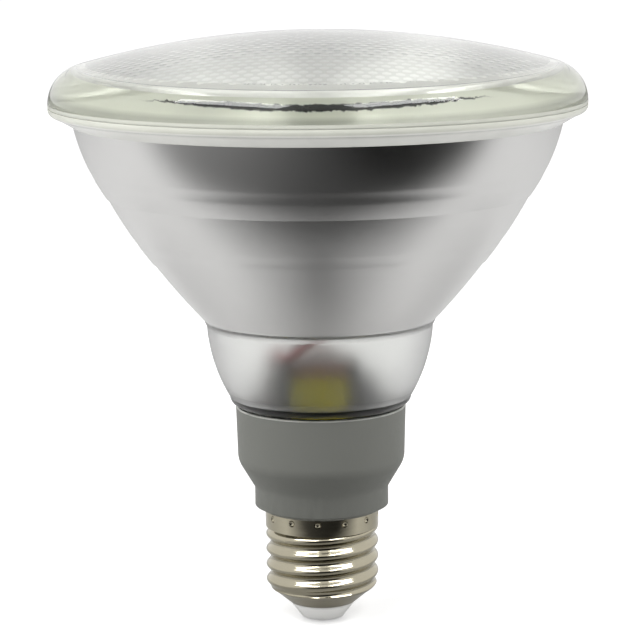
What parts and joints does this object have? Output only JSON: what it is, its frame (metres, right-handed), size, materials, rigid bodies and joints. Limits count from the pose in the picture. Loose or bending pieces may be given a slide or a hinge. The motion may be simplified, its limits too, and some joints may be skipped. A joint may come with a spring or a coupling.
{
  "type": "par spotlight bulb",
  "caption": "Parabolic glass spotlight lamp with a domed stippled lens, mirrored bowl, frosted neck, grey collar and screw cap; throws a beam from light-emitting diodes.",
  "frame": {"origin": "tip of the centre contact, on the lamp's axis", "axes": "+Z along the lamp's axis from the cap to the lens, -Y towards the viewer of the picture, +X to the right"},
  "size_m": [0.122, 0.122, 0.1371],
  "materials": {
    "lens_glass": "pressed glass, smooth outside with a stippled field",
    "reflector_glass": "etched glass, aluminised behind the bowl and frosted at the neck",
    "clear_silicone": "translucent",
    "cement": "matt",
    "collar_plastic": "satin moulded",
    "shell_nickel": "nickel plated",
    "insulator_white": "smooth",
    "contact_metal": "tinned",
    "plate_aluminium": "satin",
    "led_board_white": "white solder mask",
    "emitter_phosphor": "phosphor",
    "screw_steel": "zinc plated",
    "circuit_board": "solder mask",
    "chip_black": "moulded epoxy",
    "ferrite": "sintered",
    "bobbin_brown": "phenolic moulding",
    "winding_tape": "polyester tape",
    "can_sleeve": "shrink sleeve",
    "film_red": "epoxy dipped",
    "resistor_coat": "lacquered",
    "lead_red": "silicone insulation",
    "lead_black": "silicone insulation"
  },
  "bodies": {
    "root": {"front_lens": "lens_glass", "lens_seal": "clear_silicone", "glass_reflector": "reflector_glass", "neck_seal": "cement", "base_collar": "collar_plastic", "screw_shell": "shell_nickel", "base_insulator": "insulator_white", "centre_contact": "contact_metal", "led_plate": "plate_aluminium", "plate_seal": "clear_silicone", "led_board": "led_board_white", "led_emitters": "emitter_phosphor", "board_screws": "screw_steel", "driver_board": "circuit_board", "controller_chip": "chip_black", "transformer_core": "ferrite", "transformer_bobbin": "bobbin_brown", "transformer_winding": "winding_tape", "bulk_capacitor": "can_sleeve", "output_capacitor": "can_sleeve", "film_capacitor": "film_red", "filter_inductor": "ferrite", "bridge_rectifier": "chip_black", "fuse_resistor": "resistor_coat", "red_lead": "lead_red", "black_lead": "lead_black", "shell_wire": "lead_black", "contact_wire": "lead_red"}
  },
  "joints": []
}
